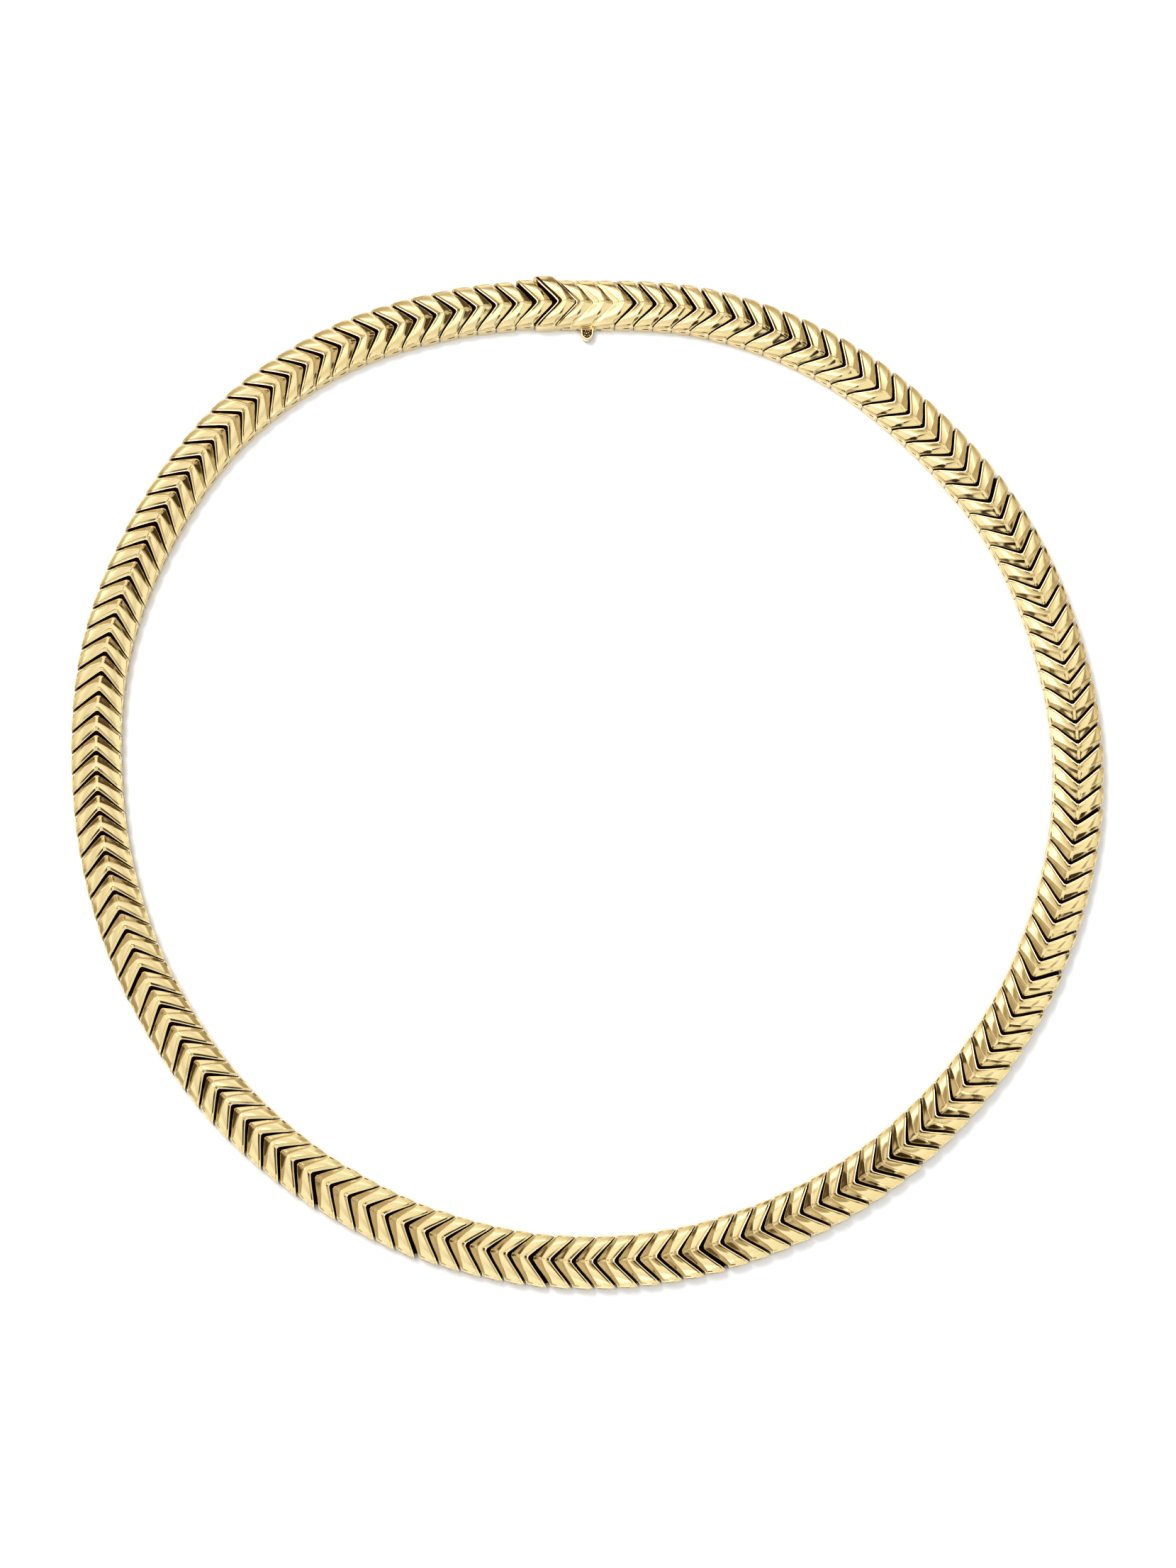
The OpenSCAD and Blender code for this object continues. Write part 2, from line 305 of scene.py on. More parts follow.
# The end of an arm, millimetres and shares
armEnd = {
    # a facet starts at this station, which lies at these shares of the arm by section row
    "facetStation": 0.6,
    "facetKeys": {0: 0.8, 7: 0.8, 8: 0.7, 9: 0.58, 10: 0.46, 12: 0.46, 15: 0.54, 17: 0.6, 23: 0.6},
    "still": 0.1,         # up to this station the rows lie level with each other
    "arc": (0.02, 0.05, 0.14),  # how far the end is rounded back: all along, at its rear and front corner
    "corners": (0.15, 0.6),     # shares of the section where the rear corner ends and the front one starts
    "arcFrom": 0.6,       # share of the arm from where it bends to the arc
    "thicken": (0.7, 0.95),     # shares of the arm between which the end wall's thickness is reached
    # the rolled end and its groove: how far in from the end, how far below the roof
    "rolls": [(0.13, 0.01), (0.06, 0.035), (0.015, 0.09), (0.0, 0.16), (0.04, 0.21), (0.04, 0.27),
              (0.0, 0.32)],
    "thinRoll": 0.1,      # above this depth the inside doesn't move down with the roll
    # levels down the end wall: how far below the roof at least, and height
    "levels": [(0.4, link["slotTop"]), (0.46, link["slotBottom"]), (0.52, 0.4), (2.0, 0.0)],
}
facetStart = np.interp(range(rowCount), list(armEnd["facetKeys"]), list(armEnd["facetKeys"].values()))
endStations = [("roll", at) for at in armEnd["rolls"]] + [("level", at) for at in armEnd["levels"]]


def facetShare(s, row):
    still, station = armEnd["still"], armEnd["facetStation"]
    return float(np.interp(s, [0, still, station, 1], [0, still, facetStart[row], 1]))


# How far back the arm's end lies at share q of the section
def endArc(q):
    along, atRear, atFront = armEnd["arc"]
    rearTo, frontFrom = armEnd["corners"]
    rearCorner = max(0, (rearTo - q) / rearTo) ** 2
    frontCorner = max(0, (q - frontFrom) / (1 - frontFrom)) ** 2
    return along + atFront * frontCorner + atRear * rearCorner


# The point of one section row at one station, on the outside of the sheet and on its inside
def sheetPoints(spec, side, kind, at, row):
    width = halfWidth + spec["wide"][int(side > 0)]
    t = facetShare(at if kind == "arm" else 1.0, row)
    outsideLine, insideLine = armSection(t, side, spec)
    (u, z), (uIn, zIn) = outsideLine[row], insideLine[row]
    uRear, uFront = outsideLine[0][0], outsideLine[-1][0]
    arc = endArc((u - uRear) / (uFront - uRear))
    sheet = link["sheet"]
    if kind == "arm":
        v = t * width - arc * smoothstep(armEnd["arcFrom"], 1, t)
        sheet *= smoothstep(*armEnd["thicken"], t)
    elif kind == "roll":
        inward, down = at
        v = width - arc - inward
        z -= down
        zIn = min(zIn, z) if down < armEnd["thinRoll"] else min(zIn - down, z)
    else:
        below, level = at
        v = width - arc
        z = max(min(level, z - below), 0.0)
        zIn = z
    vIn = max(v - sheet, 0.0)
    return (u + armSweep(v), side * v, z), (uIn + armSweep(vIn), side * vIn, max(zIn, 0.0))


# Outer and inner sheet of a chevron as two grids of points, section rows by stations across the band
def linkSheets(spec):
    arm = [("arm", t) for t in armStations]
    stations = [(-1, kind, at) for kind, at in reversed(arm[1:] + endStations)]
    stations += [(1, kind, at) for kind, at in arm + endStations]
    pairs = np.array([[sheetPoints(spec, *station, row) for row in range(rowCount)] for station in stations])
    return pairs[:, :, 0], pairs[:, :, 1]


# Vertices, faces and finishes of one chevron, its slots cut through the end walls
def chevronMesh(spec):
    outer, inner = linkSheets(spec)
    cols, rows = outer.shape[:2]
    verts = np.concatenate([outer.reshape(-1, 3), inner.reshape(-1, 3)])
    shift = cols * rows
    ends = len(endStations)
    faces, marks = [], []

    def quad(a, b, c, d, mark):
        faces.append((d, c, b, a))
        marks.append(mark)

    def ix(j, i):
        return j * rows + i

    # the slot's levels are the 3rd and 4th station from either end
    slotCols = ((2, 3), (cols - 4, cols - 3)) if spec["slots"] else ()
    holes = {(j, i) for j, _ in slotCols for i in range(*slotRows)}
    finish = {i: spec["wall"] for i in wallRows}
    finish.update({i: paintedShade for i in shadedFrontRows})
    finish.update({i: paintedHighlight for i in highlightLipRows})
    for j in range(cols - 1):
        onArm = ends - 1 <= j < cols - ends
        for i in range(rows - 1):
            if (j, i) in holes:
                continue
            mark = finish.get(i, polished) if onArm else polished
            quad(ix(j, i), ix(j + 1, i), ix(j + 1, i + 1), ix(j, i + 1), mark)
            corners = ix(j, i + 1), ix(j + 1, i + 1), ix(j + 1, i), ix(j, i)
            quad(*(shift + k for k in corners), inside)
    border = [ix(j, 0) for j in range(cols)] + [ix(cols - 1, i) for i in range(1, rows)]
    border += [ix(j, rows - 1) for j in range(cols - 2, -1, -1)] + [ix(0, i) for i in range(rows - 2, 0, -1)]
    rings = [border]
    for j, k in slotCols:
        lo, hi = slotRows
        rings.append([ix(j, i) for i in range(lo, hi + 1)] + [ix(k, i) for i in range(hi, lo - 1, -1)])
    for ring in rings:
        for a, b in zip(ring, ring[1:] + ring[:1]):
            quad(b, a, shift + a, shift + b, polished)
    return verts, faces, marks


# The thin dark strip under the rear lip, painted shade: it closes the gaps from below, so that nothing shows
# through them and they stay dark. Millimetres.
shadeStrip = {
    "reach": 0.75,        # how far it reaches behind the lip
    "proudReach": 0.9,    # and behind the clasp's first chevron
    "endReach": 0.1,      # and near the arms' ends
    "endFrom": 2.55,      # the ends start this far from the spine
    "under": 0.3,         # how far it starts in under the link
    "below": 0.1,         # and below the lip
    "thickness": 0.1,
    "fall": (0.42, 0.12), # its far edge lies this much below the front lip: part with the reach, part fixed
    "places": [0.15, 0.3, 0.8, 1.4, 2.0, 2.5, 2.8, 2.97],
}


def shadeStripMesh(spec, reach=shadeStrip["reach"]):
    under, thickness = shadeStrip["under"], shadeStrip["thickness"]
    fallWithReach, fallFixed = shadeStrip["fall"]
    places = [-v for v in reversed(shadeStrip["places"])] + shadeStrip["places"]
    verts, faces = [], []
    for v in places:
        t = abs(v) / halfWidth
        rear = -(halfLength(t, v) + spec["back"])
        high = heightAt("rearLip", t) + spec["up"] - shadeStrip["below"]
        low = heightAt("frontLip", t) + spec["lipUp"]
        out = reach if abs(v) < shadeStrip["endFrom"] else shadeStrip["endReach"]
        drop = (high - low + fallWithReach) * (out + under) / (shadeStrip["reach"] + under) + fallFixed
        back = armSweep(v)
        for u, z in ((rear + under, high), (rear - out, high - drop),
                     (rear - out, high - drop - thickness), (rear + under, high - thickness)):
            verts.append((u + back, v, z))
    n = 4
    for k in range(len(places) - 1):
        for i in range(n):
            j = (i + 1) % n
            faces.append(((k + 1) * n + i, (k + 1) * n + j, k * n + j, k * n + i))
    last = (len(places) - 1) * n
    faces.append((0, 1, 2, 3))
    faces.append((last + 3, last + 2, last + 1, last))
    return np.array(verts), faces, [paintedShade] * len(faces)


# How the edges of tubes, rods and blocks are finished, in millimetres and shares
edges = {
    "tubeBevel": 0.12,    # share of a tube's wall
    "rodTip": 0.01,       # radius of the flat at a rod's very end
    "rodCap": (0.7, 0.02),      # share of a rod's radius, and how far in from its end
    "rodRound": 0.1,      # how far in a rod has its full radius
    "block": 0.04,        # bevel of a block
    "web": 0.03,          # and of the web over an eye
}


# A straight tube, or a rod with rounded ends where the bore is 0
def tube(centre, axis, outer, bore, length, sides):
    axis = np.array(axis, float)
    other = np.array((0, 0, 1.0)) if abs(axis[2]) < 0.5 else np.array((1.0, 0, 0))
    e1 = np.cross(axis, other)
    e1 /= np.linalg.norm(e1)
    e2 = np.cross(axis, e1)
    h = length / 2
    if bore:
        r = edges["tubeBevel"] * (outer - bore)
        profile = [(bore, -h + r), (bore + r, -h), (outer - r, -h), (outer, -h + r),
                   (outer, h - r), (outer - r, h), (bore + r, h), (bore, h - r)]
    else:
        tip, full = edges["rodTip"], edges["rodRound"]
        share, cap = edges["rodCap"]
        profile = [(tip, -h), (outer * share, -h + cap), (outer, -h + full),
                   (outer, h - full), (outer * share, h - cap), (tip, h)]
    verts, faces = [], []
    n = len(profile)
    for k in range(sides):
        a = 2 * math.pi * k / sides
        for radius, along in profile:
            verts.append(np.array(centre) + radius * (math.cos(a) * e1 + math.sin(a) * e2) + along * axis)
    for k in range(sides):
        m = (k + 1) % sides
        for i in range(n if bore else n - 1):
            j = (i + 1) % n
            faces.append((m * n + i, m * n + j, k * n + j, k * n + i))
    if not bore:
        faces.append(tuple(k * n for k in reversed(range(sides))))
        faces.append(tuple(k * n + n - 1 for k in range(sides)))
    return np.array(verts), faces, [polished] * len(faces)


# A box with a small bevel on every edge, from its lowest to its highest corner
def block(low, high, bevel=edges["block"]):
    bm = bmesh.new()
    bmesh.ops.create_cube(bm, size=1)
    size = np.array(high, float) - np.array(low, float)
    centre = (np.array(high, float) + np.array(low, float)) / 2
    for v in bm.verts:
        v.co = Vector(np.array(v.co) * size + centre)
    bmesh.ops.bevel(bm, geom=bm.edges[:], offset=min(bevel, 0.45 * size.min()), segments=2, affect="EDGES")
    bm.verts.index_update()
    verts = np.array([v.co[:] for v in bm.verts])
    faces = [tuple(v.index for v in f.verts) for f in bm.faces]
    bm.free()
    return verts, faces, [polished] * len(faces)


def joined(parts):
    verts, faces, marks, shift = [], [], [], 0
    for v, f, m in parts:
        verts.append(v)
        faces += [tuple(shift + i for i in face) for face in f]
        marks += m
        shift += len(v)
    return np.concatenate(verts), faces, marks


# A part in its own frame, set at a place in the collar's frame
def placed(part, x, y, deg):
    v, f, m = part
    c, s = math.cos(math.radians(deg)), math.sin(math.radians(deg))
    out = np.empty_like(v)
    out[:, 0] = v[:, 0] * c - v[:, 1] * s + x
    out[:, 1] = v[:, 0] * s + v[:, 1] * c + y
    out[:, 2] = v[:, 2]
    return out, f, m


def shifted(part, x):
    v, f, m = part
    return v + np.array((x, 0.0, 0.0)), f, m


# Gold of 14 karat. Each finish drifts between two colours, and has its roughness and how much rougher its
# hazy patches are.
gold = {
    # cast links buffed by hand: pale warm reflections, close to a mirror on the broad faces
    "polished_14k_gold": ("#F5E4B2", "#F2DAA4", 0.06, 0.05),
    # the insides, as cast: a deeper yellow with blurred reflections
    "unpolished_14k_gold": ("#D9B06A", "#C99A55", 0.32, 0.15),
    # painted shade: dark brown for the shade in the gaps, on the front walls and front lips, the first
    # chevron's rear wall and the strips under the gaps; the tab's dished middle is drawn in it too
    "painted_shade_14k_gold": ("#4A2E16", "#2E190B", 0.42, 0.15),
    # lips cut with a bright tool: they flash nearly white
    # painted highlight: the rear lips in gold so pale it is nearly white, to show as a white line
    "painted_highlight_14k_gold": ("#FCF1CE", "#FCF1CE", 0.12, 0.05),
}
# What the hand buffing leaves on all of them
buffing = {
    "hazeSize": 1.6,      # mm, patches of haze
    "hazeRange": (0.35, 0.75),  # part of the noise that is haze, from none to full
    "tintSize": 14.0,     # mm, slow drift of colour along the band
    "rippleSize": 0.9,    # mm, soft unevenness
    "rippleDepth": 0.004, # mm
}


def linear(hexColour):
    out = []
    for k in (1, 3, 5):
        c = int(hexColour[k:k + 2], 16) / 255
        out.append(c / 12.92 if c <= 0.04045 else ((c + 0.055) / 1.055) ** 2.4)
    return (*out, 1.0)


def addNode(tree, kind, settings=None, inputs=None):
    node = tree.nodes.new(kind)
    for key, value in (settings or {}).items():
        setattr(node, key, value)
    for key, value in (inputs or {}).items():
        socket = node.inputs[key]
        if isinstance(value, bpy.types.NodeSocket):
            tree.links.new(value, socket)
        else:
            socket.default_value = value
    return node


def newMaterial(name):
    m = bpy.data.materials.new(name)
    m.use_nodes = True
    m.node_tree.nodes.clear()
    return m, m.node_tree


def goldMaterial(name, colour, warmColour, roughness, haze):
    m, tree = newMaterial(name)
    coords = addNode(tree, "ShaderNodeTexCoord").outputs["Object"]
    drift = addNode(tree, "ShaderNodeTexNoise", inputs={
        "Vector": coords, "Scale": 1 / (buffing["tintSize"] * mm), "Detail": 1.0})
    tint = addNode(tree, "ShaderNodeMix", {"data_type": "RGBA"}, {
        0: drift.outputs["Fac"], 6: linear(colour), 7: linear(warmColour)})
    patches = addNode(tree, "ShaderNodeTexNoise", inputs={
        "Vector": coords, "Scale": 1 / (buffing["hazeSize"] * mm), "Detail": 2.0})
    hazeFrom, hazeTo = buffing["hazeRange"]
    rough = addNode(tree, "ShaderNodeMapRange", inputs={
        "Value": patches.outputs["Fac"], "From Min": hazeFrom, "From Max": hazeTo,
        "To Min": roughness, "To Max": roughness + haze})
    ripple = addNode(tree, "ShaderNodeTexNoise", inputs={
        "Vector": coords, "Scale": 1 / (buffing["rippleSize"] * mm), "Detail": 1.0})
    bump = addNode(tree, "ShaderNodeBump", inputs={
        "Height": ripple.outputs["Fac"], "Strength": 1.0, "Distance": buffing["rippleDepth"] * mm})
    shader = addNode(tree, "ShaderNodeBsdfPrincipled", inputs={
        "Base Color": tint.outputs[2], "Metallic": 1.0, "Roughness": rough.outputs["Result"],
        "Normal": bump.outputs["Normal"]})
    addNode(tree, "ShaderNodeOutputMaterial", inputs={"Surface": shader.outputs["BSDF"]})
    return m


goldSet = [goldMaterial(name, *finish) for name, finish in gold.items()]
sharpAngle = 9  # degrees: the planes of a link meet in crisp edges, its rolled edges stay smooth
print("materials made")


def piece(name, part, body, node):
    verts, faces, marks = part
    mesh = bpy.data.meshes.new(name)
    mesh.from_pydata((verts * mm).tolist(), [], faces)
    for m in goldSet:
        mesh.materials.append(m)
    mesh.polygons.foreach_set("material_index", marks)
    mesh.polygons.foreach_set("use_smooth", [True] * len(faces))
    mesh.validate()
    mesh.set_sharp_from_angle(angle=math.radians(sharpAngle))
    obj = bpy.data.objects.new(name, mesh)
    bpy.context.scene.collection.objects.link(obj)
    # broad faces stay flat up to their rolled edges
    even = obj.modifiers.new("even shading", "WEIGHTED_NORMAL")
    even.keep_sharp = True
    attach(obj, body)
    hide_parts(node)


# The chain: each link is a chevron with its eye and cross pin, set where it lies

chain = {
    "runsPerSide": 3,     # each side is made as this many pieces
    "eyeSides": 18,
    "pinSides": 12,
}
# How a chevron differs from a loose link: wider at the inner and outer end, roof and front lip higher, rear
# edge further back, slots or none, and whether its rear wall is polished or painted shade
plainSpec = {"wide": (0.0, 0.0), "up": 0.0, "lipUp": 0.0, "back": 0.0, "slots": True, "wall": polished}


def eyePart():
    rear, front, top = link["eyeWeb"]
    half = link["eyeWidth"] / 2
    web = block((rear, -half, link["pinHeight"] + link["eyeBore"]), (front, half, top), edges["web"])
    ring = tube((0, 0, link["pinHeight"]), (0, 1, 0), link["eyeRadius"], link["eyeBore"], link["eyeWidth"],
                chain["eyeSides"])
    return joined([ring, web])


def pinPart():
    return tube((-loop["pitch"], 0, link["pinHeight"]), (0, 1, 0), link["pinRadius"], 0,
                link["width"] - link["pinShort"], chain["pinSides"])


chevron = joined([chevronMesh(plainSpec), shadeStripMesh(plainSpec)])
wholeLink = joined([chevron, eyePart(), pinPart()])
print("one link:", len(wholeLink[0]), "points,", len(wholeLink[1]), "faces")


# The clasp's first chevron stands proud of the rest
proud = {"wide": (0.15, 0.45), "up": 0.35, "ahead": 0.4, "back": 0.25}

# The origin is the middle of the box round the outer arms' ends
claspPlace = (loop["claspLinks"] - 1) / 2
proudSweep = link["sweep"] * (1 + proud["wide"][1] / halfWidth)
tips = []
for x in (-link["length"] / 2, link["length"] / 2):
    for i in range(loop["claspLinks"], lastLink):
        tips.append(loopPoint(i) + turned(x - link["sweep"], halfWidth, linkTurn(i)))
    tips.append(loopPoint(claspPlace) + turned(claspX(0) + proud["ahead"] - proudSweep + x,
                                               halfWidth + proud["wide"][1], heading(claspPlace)))
tips = np.array(tips)
middle = (tips.min(0) + tips.max(0)) / 2

chainStart = loop["claspLinks"]
chainSplit = chainStart + loop["rightLinks"]


def chainRun(first, last):
    parts = []
    for i in range(first, last):
        x, y = loopPoint(i) - middle
        parts.append(placed(wholeLink, x, y, linkTurn(i)))
    return joined(parts)


for side, first, last in (("right", chainStart, chainSplit), ("left", chainSplit, lastLink)):
    cuts = np.linspace(first, last, chain["runsPerSide"] + 1).round().astype(int)
    for k in range(chain["runsPerSide"]):
        piece("chain_%s_run%d" % (side, k + 1), chainRun(cuts[k], cuts[k + 1]), "collar", "chain_" + side)
print("chain laid,", lastLink - chainStart, "links")


# The clasp: four chevrons on a box, the tongue's link, and the lever with its thumb tab. Millimetres, in the
# clasp's own frame: x runs along the band from the middle of the clasp, y across it, outwards.

tab = {
    "x": claspX(1) + 0.4,
    "width": 1.7,
    "length": 1.65,       # from the band's edge
    "blunt": 0.16,        # flattens the rounded end
    "steps": 14,          # points round that end
    "gap": 0.12,          # from the tab's plate to the box
    "rim": 0.24,
    "rimUp": 0.25,        # the rim stands out this much, above and below
    "rimRound": (0.07, 0.08),   # its bevel, across and down
    "seam": 0.05,         # the plates reach this far into their neighbours
    # small round pips: place from the middle of the round end, and radius
    "pips": [(-0.3, -0.25, 0.12), (0.02, -0.32, 0.09), (0.3, -0.2, 0.12), (-0.36, 0.12, 0.1),
             (-0.08, 0.05, 0.13), (0.22, 0.14, 0.11), (-0.2, 0.42, 0.12), (0.12, 0.45, 0.09),
             (0.38, 0.4, 0.11)],
    "pipHeight": 0.24,
    "pipUp": 0.03,        # their middle stands this much above the plate
    "discSides": 28,
    "pipSides": 10,
}
lever = {
    "low": 0.75,
    "high": 1.1,
    "eyeRadius": 0.48,
    "eyePlay": 0.06,      # round the post
    "eyeSides": 24,
    "armHalf": 0.25,      # half width of the arm from the tab to the post
    "armShort": 0.4,      # the arm ends this far before the middle of the post
    "dogX": (-0.6, -0.3), # the dog that catches in the tongue's slot
    "dogY": (-0.7, -0.4),
    "dogSunk": 0.1,       # its top lies this much below the arm's
}
tongue = {
    "linkAhead": 0.1,
    "rootBehind": 0.4,    # from the middle of the link back to the root of the tongue
    "riser": (0.7, 0.5, 2.2),   # what carries the tongue: length, half width, top
    "low": 0.4,
    "high": 0.65,
    "side": -1.4,         # its edge on the tab's side
    "width": 3.0,
    "tipShort": 1.3,      # from the last eye to the tip
    "slotX": -0.8,        # the L slot starts here, and runs between these sides
    "slotY": (-0.85, 0.05),
    "latchX": 0.0,        # the side of the slot that the dog catches on
    "latchY": -0.5,
    "seam": 0.05,         # the plates reach this far into each other
}
box = {
    "floor": 0.25,
    "floorShort": 1.0,    # from the last eye to the end of the floor
    "wall": 0.35,
    "inset": 0.02,        # the walls lie this far inside the chevrons' ends
    "postX": claspX(3) - 2.1,
    "postY": -1.85,
    "postRadius": 0.22,
    "postMiddle": 0.95,
    "postLength": 1.85,
    "postSides": 20,
    "windowPlay": 0.3,    # on either side of the tab
    "sillPlay": 0.1,      # under the tab's rim
    "sillLap": 0.1,       # the sill reaches this far into the walls beside it
    "lipUp": {1: 0.25, 2: 0.25, 3: 0.5},    # how much higher the second to fourth chevrons' front lips lie
}
claspXY = loopPoint(claspPlace) - middle
claspTurn = heading(claspPlace)
lastEye = claspX(loop["claspLinks"] - 1) - link["eyeRadius"]
upright = (0, 0, 1)


def atClasp(parts):
    return placed(joined(parts), claspXY[0], claspXY[1], claspTurn)


def darkBrown(part):
    v, f, m = part
    return v, f, [paintedShade] * len(m)


def claspBox():
    parts = []
    for k in range(1, loop["claspLinks"]):
        back = loop["pitch"] - link["length"] if k > 1 else 0.0
        spec = dict(plainSpec, back=back, lipUp=box["lipUp"][k])
        parts.append(shifted(joined([chevronMesh(spec), shadeStripMesh(spec)]), claspX(k)))
    # the first chevron's rear wall is painted shade, dark brown
    first = dict(plainSpec, wide=proud["wide"], up=proud["up"], back=proud["back"], slots=False, wall=paintedShade)
    firstX = claspX(0) + proud["ahead"]
    parts.append(shifted(chevronMesh(first), firstX))
    parts.append(shifted(shadeStripMesh(first, shadeStrip["proudReach"]), firstX))
    x0, x1 = claspX(0) - link["sweep"], claspX(loop["claspLinks"] - 1) - link["sweep"]
    top = link["slotBottom"]
    outside = halfWidth - box["inset"]
    within = halfWidth - box["wall"]
    windowA = tab["x"] - tab["width"] / 2 - box["windowPlay"]
    windowB = tab["x"] + tab["width"] / 2 + box["windowPlay"]
    sill = lever["low"] - tab["rimUp"] - box["sillPlay"]
    lap = box["sillLap"]
    parts.append(block((x0, within, 0), (x1, outside, top)))
    parts.append(block((x0, -outside, 0), (windowA, -within, top)))
    parts.append(block((windowA - lap, -outside, 0), (windowB + lap, -within, sill)))
    parts.append(block((windowB, -outside, 0), (x1, -within, top)))
    rear = claspX(0) - link["length"] / 2 + proud["ahead"]
    parts.append(block((rear, -outside, 0), (lastEye - box["floorShort"], outside, box["floor"])))
    parts.append(tube((box["postX"], box["postY"], box["postMiddle"]), upright, box["postRadius"], 0,
                      box["postLength"], box["postSides"]))
    parts.append(shifted(eyePart(), claspX(loop["claspLinks"] - 1)))
    return atClasp(parts)


def claspTongue():
    x = claspX(-1) + tongue["linkAhead"]
    root = x - tongue["rootBehind"]
    tip = lastEye - tongue["tipShort"]
    low, high = tongue["low"], tongue["high"]
    y0 = tongue["side"]
    y1 = y0 + tongue["width"]
    slotX, latchX = tongue["slotX"], tongue["latchX"]
    slotLow, slotHigh = tongue["slotY"]
    length, half, top = tongue["riser"]
    parts = [shifted(joined([chevron, pinPart()]), x)]
    parts.append(block((root, -half, low), (root + length, half, top)))
    parts.append(block((root, y0, low), (slotX + tongue["seam"], y1, high)))
    parts.append(block((slotX, slotHigh, low), (tip, y1, high)))
    parts.append(block((slotX, y0, low), (tip, slotLow, high)))
    parts.append(block((latchX, y0, low), (tip, tongue["latchY"], high)))
    return atClasp(parts)


# The rim is a U swept along the tab's outline, with a rounded section
def tabRim(outline, tabY):
    low, high = lever["low"] - tab["rimUp"], lever["high"] + tab["rimUp"]
    w = tab["rim"]
    across, down = tab["rimRound"]
    section = [(0.0, low), (0.0, high - down), (-across, high), (-w + across, high), (-w, high - down),
               (-w, low)]
    verts, faces = [], []
    n = len(section)
    centre = np.array((tab["x"], tabY))
    for x, y in outline:
        out = np.array((x, y)) - centre
        out = np.array((math.copysign(1, out[0]), 0)) if y > tabY else out / np.linalg.norm(out)
        for d, z in section:
            verts.append((x + d * out[0], y + d * out[1], z))
    for k in range(len(outline) - 1):
        for i in range(n):
            j = (i + 1) % n
            faces.append((k * n + i, (k + 1) * n + i, (k + 1) * n + j, k * n + j))
    faces.append(tuple(range(n)))
    faces.append(tuple(reversed(range((len(outline) - 1) * n, len(outline) * n))))
    return np.array(verts), faces, [polished] * len(faces)


def thumbLever():
    low, high = lever["low"], lever["high"]
    level = (low + high) / 2
    tabX, r = tab["x"], tab["width"] / 2
    tabY = -halfWidth - tab["length"] + r
    wallY = -halfWidth - tab["gap"]
    outline = [(tabX + r, wallY)]
    outline += [(tabX + r * math.cos(a) * (1 - tab["blunt"] * math.sin(a)), tabY - r * math.sin(a))
                for a in np.linspace(0, math.pi, tab["steps"])]
    outline += [(tabX - r, wallY)]
    # the dished middle of the tab is dark brown, only its small pips are polished gold
    innerR = r - tab["rim"] + tab["seam"]
    disc = darkBrown(tube((tabX, tabY, level), upright, innerR, 0, high - low, tab["discSides"]))
    plate = darkBrown(block((tabX - innerR, tabY, low), (tabX + innerR, wallY, high)))
    armLow, armHigh = box["postY"] - lever["armHalf"], box["postY"] + lever["armHalf"]
    neck = block((tabX - r, wallY - tab["seam"], low), (tabX + r, armHigh, high))
    parts = [tabRim(outline, tabY), disc, plate, neck]
    for x, y, radius in tab["pips"]:
        pipAt = (tabX + x, tabY + y, high + tab["pipUp"])
        parts.append(tube(pipAt, upright, radius, 0, tab["pipHeight"], tab["pipSides"]))
    parts.append(tube((box["postX"], box["postY"], level), upright, lever["eyeRadius"],
                      box["postRadius"] + lever["eyePlay"], high - low, lever["eyeSides"]))
    parts.append(block((tabX, armLow, low), (box["postX"] - lever["armShort"], armHigh, high)))
    dogA, dogB = lever["dogX"]
    dogLow, dogHigh = lever["dogY"]
    parts.append(block((dogA, box["postY"], low), (dogB, dogHigh, high)))
    parts.append(block((dogA, dogLow, tongue["low"]), (dogB, dogHigh, high - lever["dogSunk"])))
    return atClasp(parts)


piece("clasp_box_dressed", claspBox(), "collar", "clasp_box")
piece("clasp_tongue_dressed", claspTongue(), "collar", "clasp_tongue")
piece("thumb_lever_dressed", thumbLever(), "lever", "thumb_lever")
print("clasp made")


# Studio: a white paper sweep lit by two soft boxes, and a soft sky with round cards for the gold to mirror

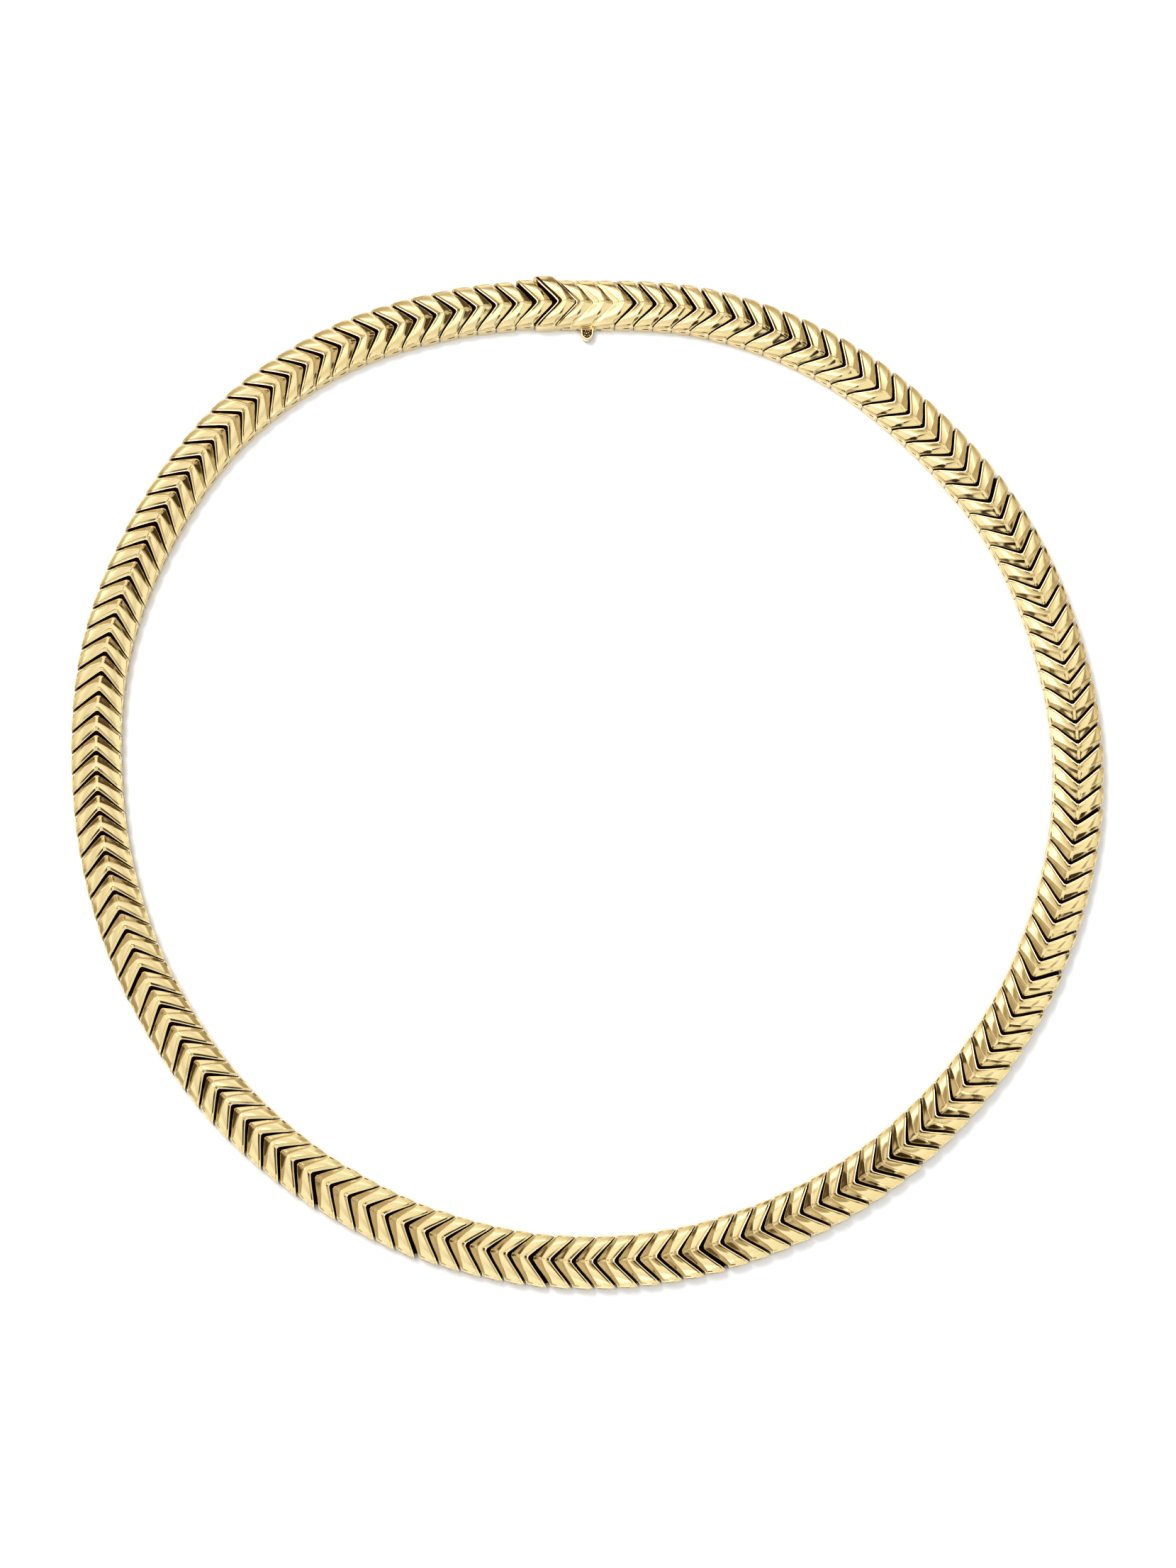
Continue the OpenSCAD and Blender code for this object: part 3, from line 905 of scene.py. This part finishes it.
studio = {
    "paper": "#F7F6F4",
    "paperSize": 3.0,     # m, from the middle to each side
    "paperBelow": 0.02,   # mm under the links, so that the two don't share a plane
    "distance": 0.483,    # m, from the camera to the point that it aims at
    "elevation": 75.7,    # degrees
    "aim": (0.13, -2.42, 1.5),  # mm
    "focalPixels": 5242,  # focal length, in pixels of a frame of this height
    "frameHeight": 2212,
    "sensor": 36,         # mm
    "clip": (0.01, 20),   # m
    # azimuth is where a box or card stands, in degrees anticlockwise from +X seen from above; distance and
    # size are in metres, power in watts
    "boxes": [
        {"name": "key", "azimuth": 135, "elevation": 60, "distance": 1.2, "size": (0.5, 0.4),
         "colour": (1.0, 0.98, 0.95), "power": 9.0},
        {"name": "fill", "azimuth": -90, "elevation": 80, "distance": 1.6, "size": (2.0, 2.0),
         "colour": (0.9, 0.94, 1.0), "power": 30.0},
    ],
    # elevation, and the light that comes from there
    "sky": [
        (0, (0.58, 0.47, 0.31)),
        (22, (0.54, 0.45, 0.31)),
        (35, (0.69, 0.61, 0.47)),
        (48, (1.02, 1.0, 0.9)),
        (60, (1.16, 1.18, 1.12)),
        (72, (1.03, 1.03, 0.97)),
        (86, (0.88, 0.86, 0.78)),
    ],
    # azimuth, elevation, degrees from its middle where a card is solid and where it is gone, light. A later
    # card lies over an earlier one.
    "cards": [
        (-40, 38, 12, 40, (1.03, 1.02, 0.88)),
        (196, 44, 8, 15, (0.46, 0.39, 0.28)),
        (42, 50, 6, 12, (0.46, 0.39, 0.26)),
        (66, 12, 9, 14, (0.11, 0.075, 0.04)),
        (44, 22, 7, 12, (0.06, 0.04, 0.02)),
        (164, 23, 8, 14, (0.09, 0.06, 0.03)),
        (94, 37, 2, 6, (0.3, 0.23, 0.14)),
        (132, 15, 4, 9, (0.14, 0.095, 0.05)),
        (332, 26, 5, 9, (0.1, 0.07, 0.04)),
        (312, 38, 6, 9, (0.04, 0.025, 0.015)),
        (0, 35, 6, 9, (0.07, 0.045, 0.02)),
        (231, 37, 5, 9, (0.13, 0.09, 0.05)),
        (284, 26, 5, 10, (0.08, 0.055, 0.03)),
        (262, 39, 6, 10, (0.03, 0.02, 0.01)),
        (76, 66, 7, 11, (2.0, 2.0, 1.95)),
        (98, 62, 8, 12, (2.0, 2.0, 1.95)),
        (124, 63, 8, 12, (2.0, 2.0, 1.95)),
        (143, 49, 6, 10, (1.6, 1.6, 1.55)),
        (94, 20, 8, 14, (1.1, 1.1, 1.03)),
        (292, 63, 4, 7, (1.9, 1.9, 1.85)),
        (268, 25, 3, 5, (1.6, 1.6, 1.5)),
    ],
}


def towards(azimuth, elevation):
    a, e = math.radians(azimuth), math.radians(elevation)
    return Vector((math.cos(a) * math.cos(e), math.sin(a) * math.cos(e), math.sin(e)))


def makeFloor():
    s = studio["paperSize"]
    z = -studio["paperBelow"] * mm
    mesh = bpy.data.meshes.new("floor")
    mesh.from_pydata([(-s, -s, z), (s, -s, z), (s, s, z), (-s, s, z)], [], [(0, 1, 2, 3)])
    obj = bpy.data.objects.new("floor", mesh)
    # matt paper: no shine, so the floor stays an even white
    m, tree = newMaterial("white_paper_sweep")
    shader = addNode(tree, "ShaderNodeBsdfPrincipled", inputs={
        "Base Color": linear(studio["paper"]), "Roughness": 0.9, "Specular IOR Level": 0.0})
    addNode(tree, "ShaderNodeOutputMaterial", inputs={"Surface": shader.outputs["BSDF"]})
    mesh.materials.append(m)
    bpy.context.scene.collection.objects.link(obj)


def makeCamera():
    e = math.radians(studio["elevation"])
    back = Vector((0, -math.cos(e), math.sin(e)))
    data = bpy.data.cameras.new("camera")
    data.sensor_width = studio["sensor"]
    data.lens = studio["focalPixels"] / studio["frameHeight"] * data.sensor_width
    data.clip_start, data.clip_end = studio["clip"]
    cam = bpy.data.objects.new("camera", data)
    cam.location = Vector(studio["aim"]) * mm + back * studio["distance"]
    cam.rotation_euler = (-back).to_track_quat("-Z", "Y").to_euler()
    bpy.context.scene.collection.objects.link(cam)
    bpy.context.scene.camera = cam


def softBox(name, azimuth, elevation, distance, size, colour, power):
    at = towards(azimuth, elevation) * distance
    data = bpy.data.lights.new(name, "AREA")
    data.shape = "RECTANGLE"
    data.size, data.size_y = size
    data.color = colour
    data.energy = power
    obj = bpy.data.objects.new(name, data)
    obj.location = at
    obj.rotation_euler = (-at).to_track_quat("-Z", "Y").to_euler()
    obj.visible_glossy = False  # the gold mirrors the sky and its cards alone
    bpy.context.scene.collection.objects.link(obj)


def makeWorld():
    world = bpy.data.worlds.new("studio")
    bpy.context.scene.world = world
    world.use_nodes = True
    tree = world.node_tree
    tree.nodes.clear()
    direction = addNode(tree, "ShaderNodeTexCoord").outputs["Generated"]
    height = addNode(tree, "ShaderNodeSeparateXYZ", inputs={"Vector": direction}).outputs["Z"]
    ramp = addNode(tree, "ShaderNodeValToRGB", inputs={"Fac": height})
    while len(ramp.color_ramp.elements) < len(studio["sky"]):
        ramp.color_ramp.elements.new(0.5)
    for element, (elevation, light) in zip(ramp.color_ramp.elements, studio["sky"]):
        element.position = math.sin(math.radians(elevation))
        element.color = (*light, 1)
    glow = ramp.outputs["Color"]
    for azimuth, elevation, solid, gone, light in studio["cards"]:
        near = addNode(tree, "ShaderNodeVectorMath", {"operation": "DOT_PRODUCT"}, {
            0: direction, 1: towards(azimuth, elevation)})
        share = addNode(tree, "ShaderNodeMapRange", {"interpolation_type": "SMOOTHSTEP"}, {
            "Value": near.outputs["Value"], "From Min": math.cos(math.radians(gone)),
            "From Max": math.cos(math.radians(solid))})
        card = addNode(tree, "ShaderNodeMix", {"data_type": "RGBA"}, {
            0: share.outputs["Result"], 6: glow, 7: (*light, 1.0)})
        glow = card.outputs[2]
    back = addNode(tree, "ShaderNodeBackground", inputs={"Color": glow, "Strength": 1.0})
    addNode(tree, "ShaderNodeOutputWorld", inputs={"Surface": back.outputs["Background"]})
    world.cycles_visibility.diffuse = False  # the paper is lit by the soft boxes alone


makeFloor()
makeCamera()
makeWorld()
for softBoxSpec in studio["boxes"]:
    softBox(**softBoxSpec)
bpy.context.scene.view_settings.view_transform = "Standard"
print("studio set")
